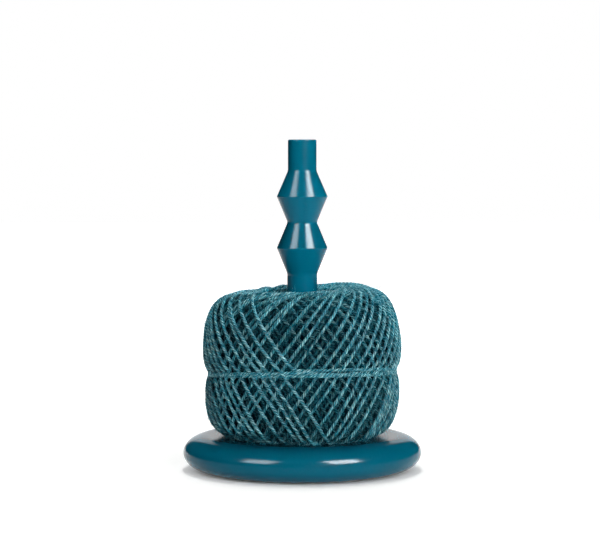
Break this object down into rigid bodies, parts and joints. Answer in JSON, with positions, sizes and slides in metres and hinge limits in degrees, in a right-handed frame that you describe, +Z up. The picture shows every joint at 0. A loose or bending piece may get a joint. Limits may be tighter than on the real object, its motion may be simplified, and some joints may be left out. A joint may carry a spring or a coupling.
{
  "type": "string holder",
  "caption": "Turned wooden string holder: a round base and a beaded post, with a cross-wound ball of twine that turns on the post and lifts off over its top.",
  "frame": {"origin": "middle of the felt's underside, on the floor", "axes": "+Z up along the post; the picture's camera stands on the -Y side, so +X is the right of the picture"},
  "size_m": [0.1302, 0.1302, 0.1805],
  "materials": {
    "lacquered_wood": "turned wood under an opaque satin-gloss teal lacquer",
    "screw_steel": "bright zinc-plated steel",
    "felt": "pressed wool felt",
    "inner_twine": "dyed bast twine, seen in the gaps between the outer strands",
    "twine": "dyed twisted bast twine, a little fuzzy"
  },
  "bodies": {
    "stand": {"base": "lacquered_wood", "post": "lacquered_wood", "post_screw": "screw_steel", "felt_pad": "felt"},
    "ball_carrier": {"twine_inner_turns": "inner_twine"},
    "ball": {"twine_core": "inner_twine", "twine_winding": "twine", "waist_tie": "twine"}
  },
  "joints": [
    {"name": "ball_lift", "type": "slide", "parent": "stand", "child": "ball_carrier", "axis": [0, 0, 1], "range_m": [0, 0.17]},
    {"name": "ball_spin", "type": "hinge", "parent": "ball_carrier", "child": "ball", "pos_m": [0, 0, 0.06], "axis": [0, 0, 1], "continuous": true}
  ]
}
